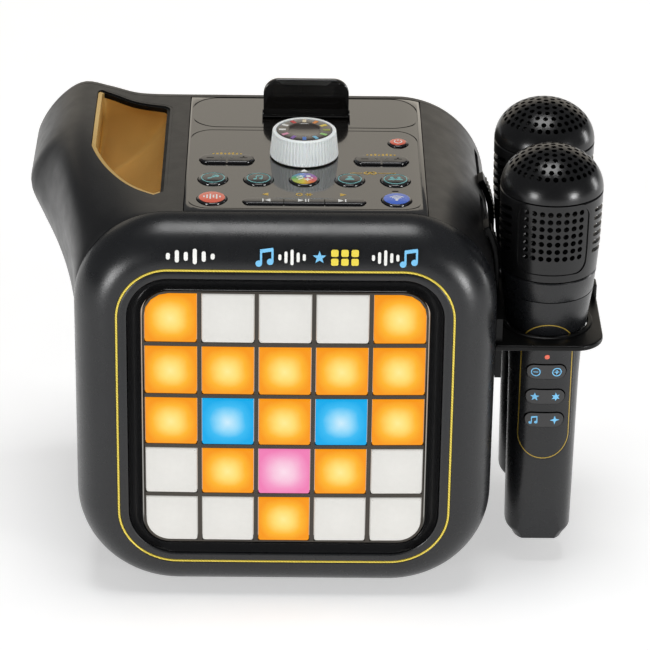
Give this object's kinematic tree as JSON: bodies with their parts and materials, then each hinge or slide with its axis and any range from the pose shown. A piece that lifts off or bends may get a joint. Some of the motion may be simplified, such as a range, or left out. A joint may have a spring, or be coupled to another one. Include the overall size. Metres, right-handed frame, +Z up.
{
  "type": "toy karaoke speaker with docked microphones",
  "caption": "Cube-shaped toy karaoke speaker with a lighted tile front, knob and key deck, gold grip pocket, and cordless microphones held in a side holder.",
  "frame": {"origin": "centre of the bounding box's base, on the surface that the rubber feet stand on", "axes": "+X to the microphones' side, +Y to the rear cover, +Z up; the tile display faces -Y"},
  "size_m": [0.2948, 0.1772, 0.233],
  "materials": {
    "shell_satin": "satin black moulding",
    "gloss_black": "mirror-polished black",
    "trim_yellow": "yellow inlay line",
    "tile_diffuser": "frosted light diffuser",
    "liner_gold": "gold metallic paint",
    "knob_white": "clear-over-white ribbed",
    "key_black": "gloss black keys with printed icons",
    "key_red": "lit orange-red",
    "key_blue": "lit blue",
    "circuit_board": "solder mask",
    "metal_part": "plain steel",
    "cone_paper": "pressed paper",
    "battery_wrap": "shrink wrap",
    "foot_rubber": "matt rubber",
    "mic_black": "semi-gloss black"
  },
  "bodies": {
    "speaker_box": {"front_bezel": "shell_satin", "bezel_trim": "trim_yellow", "display_surround": "gloss_black", "grid_frame": "shell_satin", "light_diffuser": "tile_diffuser", "led_board": "circuit_board", "main_housing": "shell_satin", "handle_liner": "liner_gold", "rear_cover": "shell_satin", "top_deck": "gloss_black", "encoder_body": "metal_part", "button_board": "circuit_board", "speaker_frame": "metal_part", "speaker_grille": "shell_satin", "main_board": "circuit_board", "battery_pack": "battery_wrap", "battery_door": "shell_satin", "foot_front_left": "foot_rubber", "foot_rear_left": "foot_rubber", "foot_front_right": "foot_rubber", "foot_rear_right": "foot_rubber"},
    "knob": {"knob_skirt": "knob_white", "knob_cap": "key_black", "encoder_shaft": "metal_part"},
    "phone_flap": {"phone_flap": "gloss_black"},
    "speaker_cone": {"speaker_cone": "cone_paper"},
    "button_voice": {"button_voice": "key_black"},
    "button_music": {"button_music": "key_black"},
    "button_lights": {"button_lights": "key_black"},
    "button_one_player": {"button_one_player": "key_black"},
    "button_two_players": {"button_two_players": "key_black"},
    "button_effects": {"button_effects": "key_red"},
    "button_wireless": {"button_wireless": "key_blue"},
    "button_power": {"button_power": "key_red"},
    "key_back": {"key_back": "key_black"},
    "key_play": {"key_play": "key_black"},
    "key_next": {"key_next": "key_black"},
    "rocker_reverb": {"rocker_reverb": "key_black"},
    "rocker_volume": {"rocker_volume": "key_black"},
    "mic_holder": {"mic_holder": "shell_satin"},
    "mic_a": {"mic_a_dome_grille": "mic_black", "mic_a_head_band": "mic_black", "mic_a_neck_collar": "mic_black", "mic_a_handle_front": "mic_black", "mic_a_handle_rear": "mic_black", "mic_a_capsule": "metal_part", "mic_a_battery": "battery_wrap"},
    "mic_a_key_volume": {"mic_a_key_volume": "key_black"},
    "mic_a_key_effect_upper": {"mic_a_key_effect_upper": "key_black"},
    "mic_a_key_effect_lower": {"mic_a_key_effect_lower": "key_black"},
    "mic_b": {"mic_b_dome_grille": "mic_black", "mic_b_head_band": "mic_black", "mic_b_neck_collar": "mic_black", "mic_b_handle_front": "mic_black", "mic_b_handle_rear": "mic_black", "mic_b_capsule": "metal_part", "mic_b_battery": "battery_wrap"},
    "mic_b_key_volume": {"mic_b_key_volume": "key_black"},
    "mic_b_key_effect_upper": {"mic_b_key_effect_upper": "key_black"},
    "mic_b_key_effect_lower": {"mic_b_key_effect_lower": "key_black"}
  },
  "joints": [
    {"name": "knob_turn", "type": "hinge", "parent": "speaker_box", "child": "knob", "pos_m": [-0.00511, 0.0069, 0.209], "axis": [0, 0, 1], "continuous": true},
    {"name": "phone_flap_fold", "type": "hinge", "parent": "speaker_box", "child": "phone_flap", "pos_m": [-0.00401, 0.0646, 0.207], "axis": [1, 0, 0], "range_deg": [0, 90]},
    {"name": "cone_stroke", "type": "slide", "parent": "speaker_box", "child": "speaker_cone", "axis": [0, 1, 0], "range_m": [-0.001, 0.001], "stiffness_N_per_m": 800},
    {"name": "button_voice_press", "type": "slide", "parent": "speaker_box", "child": "button_voice", "axis": [0, 0, -1], "range_m": [0, 0.0012], "stiffness_N_per_m": 600, "springref_m": -0.0006},
    {"name": "button_music_press", "type": "slide", "parent": "speaker_box", "child": "button_music", "axis": [0, 0, -1], "range_m": [0, 0.0012], "stiffness_N_per_m": 600, "springref_m": -0.0006},
    {"name": "button_lights_press", "type": "slide", "parent": "speaker_box", "child": "button_lights", "axis": [0, 0, -1], "range_m": [0, 0.0012], "stiffness_N_per_m": 600, "springref_m": -0.0006},
    {"name": "button_one_player_press", "type": "slide", "parent": "speaker_box", "child": "button_one_player", "axis": [0, 0, -1], "range_m": [0, 0.0012], "stiffness_N_per_m": 600, "springref_m": -0.0006},
    {"name": "button_two_players_press", "type": "slide", "parent": "speaker_box", "child": "button_two_players", "axis": [0, 0, -1], "range_m": [0, 0.0012], "stiffness_N_per_m": 600, "springref_m": -0.0006},
    {"name": "button_effects_press", "type": "slide", "parent": "speaker_box", "child": "button_effects", "axis": [0, 0, -1], "range_m": [0, 0.0012], "stiffness_N_per_m": 600, "springref_m": -0.0006},
    {"name": "button_wireless_press", "type": "slide", "parent": "speaker_box", "child": "button_wireless", "axis": [0, 0, -1], "range_m": [0, 0.0012], "stiffness_N_per_m": 600, "springref_m": -0.0006},
    {"name": "button_power_press", "type": "slide", "parent": "speaker_box", "child": "button_power", "axis": [0, 0, -1], "range_m": [0, 0.0012], "stiffness_N_per_m": 600, "springref_m": -0.0006},
    {"name": "key_back_press", "type": "slide", "parent": "speaker_box", "child": "key_back", "axis": [0, 0, -1], "range_m": [0, 0.0012], "stiffness_N_per_m": 600, "springref_m": -0.0006},
    {"name": "key_play_press", "type": "slide", "parent": "speaker_box", "child": "key_play", "axis": [0, 0, -1], "range_m": [0, 0.0012], "stiffness_N_per_m": 600, "springref_m": -0.0006},
    {"name": "key_next_press", "type": "slide", "parent": "speaker_box", "child": "key_next", "axis": [0, 0, -1], "range_m": [0, 0.0012], "stiffness_N_per_m": 600, "springref_m": -0.0006},
    {"name": "rocker_reverb_rock", "type": "hinge", "parent": "speaker_box", "child": "rocker_reverb", "pos_m": [-0.04461, -0.0004, 0.2041], "axis": [0, 1, 0], "range_deg": [-3, 3], "stiffness_Nm_per_rad": 0.5},
    {"name": "rocker_volume_rock", "type": "hinge", "parent": "speaker_box", "child": "rocker_volume", "pos_m": [0.03439, -0.0004, 0.2041], "axis": [0, 1, 0], "range_deg": [-3, 3], "stiffness_Nm_per_rad": 0.5},
    {"name": "mic_holder_slide", "type": "slide", "parent": "speaker_box", "child": "mic_holder", "axis": [0, 1, 0], "range_m": [0, 0.033]},
    {"name": "mic_a_lift", "type": "slide", "parent": "mic_holder", "child": "mic_a", "axis": [0, 0, 1], "range_m": [0, 0.135]},
    {"name": "mic_a_key_volume_rock", "type": "hinge", "parent": "mic_a", "child": "mic_a_key_volume", "pos_m": [0.11939, -0.0452, 0.116], "axis": [0, 0, 1], "range_deg": [-3, 3], "stiffness_Nm_per_rad": 0.3},
    {"name": "mic_a_key_effect_upper_rock", "type": "hinge", "parent": "mic_a", "child": "mic_a_key_effect_upper", "pos_m": [0.11939, -0.0452, 0.1015], "axis": [0, 0, 1], "range_deg": [-3, 3], "stiffness_Nm_per_rad": 0.3},
    {"name": "mic_a_key_effect_lower_rock", "type": "hinge", "parent": "mic_a", "child": "mic_a_key_effect_lower", "pos_m": [0.11939, -0.0452, 0.088], "axis": [0, 0, 1], "range_deg": [-3, 3], "stiffness_Nm_per_rad": 0.3},
    {"name": "mic_b_lift", "type": "slide", "parent": "mic_holder", "child": "mic_b", "axis": [0, 0, 1], "range_m": [0, 0.135]},
    {"name": "mic_b_key_volume_rock", "type": "hinge", "parent": "mic_b", "child": "mic_b_key_volume", "pos_m": [0.11939, 0.0148, 0.116], "axis": [0, 0, 1], "range_deg": [-3, 3], "stiffness_Nm_per_rad": 0.3},
    {"name": "mic_b_key_effect_upper_rock", "type": "hinge", "parent": "mic_b", "child": "mic_b_key_effect_upper", "pos_m": [0.11939, 0.0148, 0.1015], "axis": [0, 0, 1], "range_deg": [-3, 3], "stiffness_Nm_per_rad": 0.3},
    {"name": "mic_b_key_effect_lower_rock", "type": "hinge", "parent": "mic_b", "child": "mic_b_key_effect_lower", "pos_m": [0.11939, 0.0148, 0.088], "axis": [0, 0, 1], "range_deg": [-3, 3], "stiffness_Nm_per_rad": 0.3}
  ]
}
